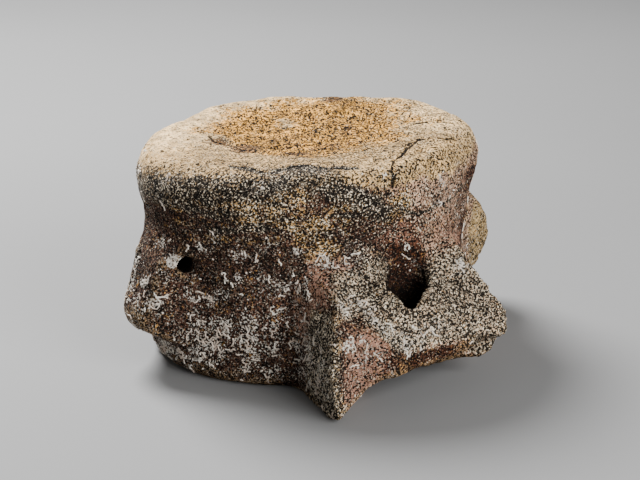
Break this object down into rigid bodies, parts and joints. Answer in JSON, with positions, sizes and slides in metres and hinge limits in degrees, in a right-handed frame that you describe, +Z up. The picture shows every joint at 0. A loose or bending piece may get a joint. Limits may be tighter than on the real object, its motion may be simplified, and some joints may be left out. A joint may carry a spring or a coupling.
{
  "type": "whale tail vertebra",
  "caption": "Worn, porous drum-shaped tail vertebra of a large whale with broken side processes and neural arch, standing on its end face.",
  "frame": {"origin": "middle of the flat underside that the bone stands on, on the long axis of the centrum", "axes": "+Z up along the centrum from its front end face to its rear end face, -Y towards the dorsal side with the neural arch, +X towards the bone's own left side"},
  "size_m": [0.3535, 0.3064, 0.1855],
  "materials": {
    "centrum_bone": "dry porous weathered bone, pale on top and dark brown below",
    "arch_bone": "dry spongy broken bone, pale pinkish grey",
    "dark_process_bone": "dark brown stained bone with white tube-worm crust",
    "olive_process_bone": "olive brown stained bone"
  },
  "bodies": {
    "root": {"centrum": "centrum_bone", "neural_arch": "arch_bone", "metapophysis_right": "arch_bone", "metapophysis_left": "arch_bone", "transverse_process_right": "dark_process_bone", "transverse_process_left": "olive_process_bone"}
  },
  "joints": []
}
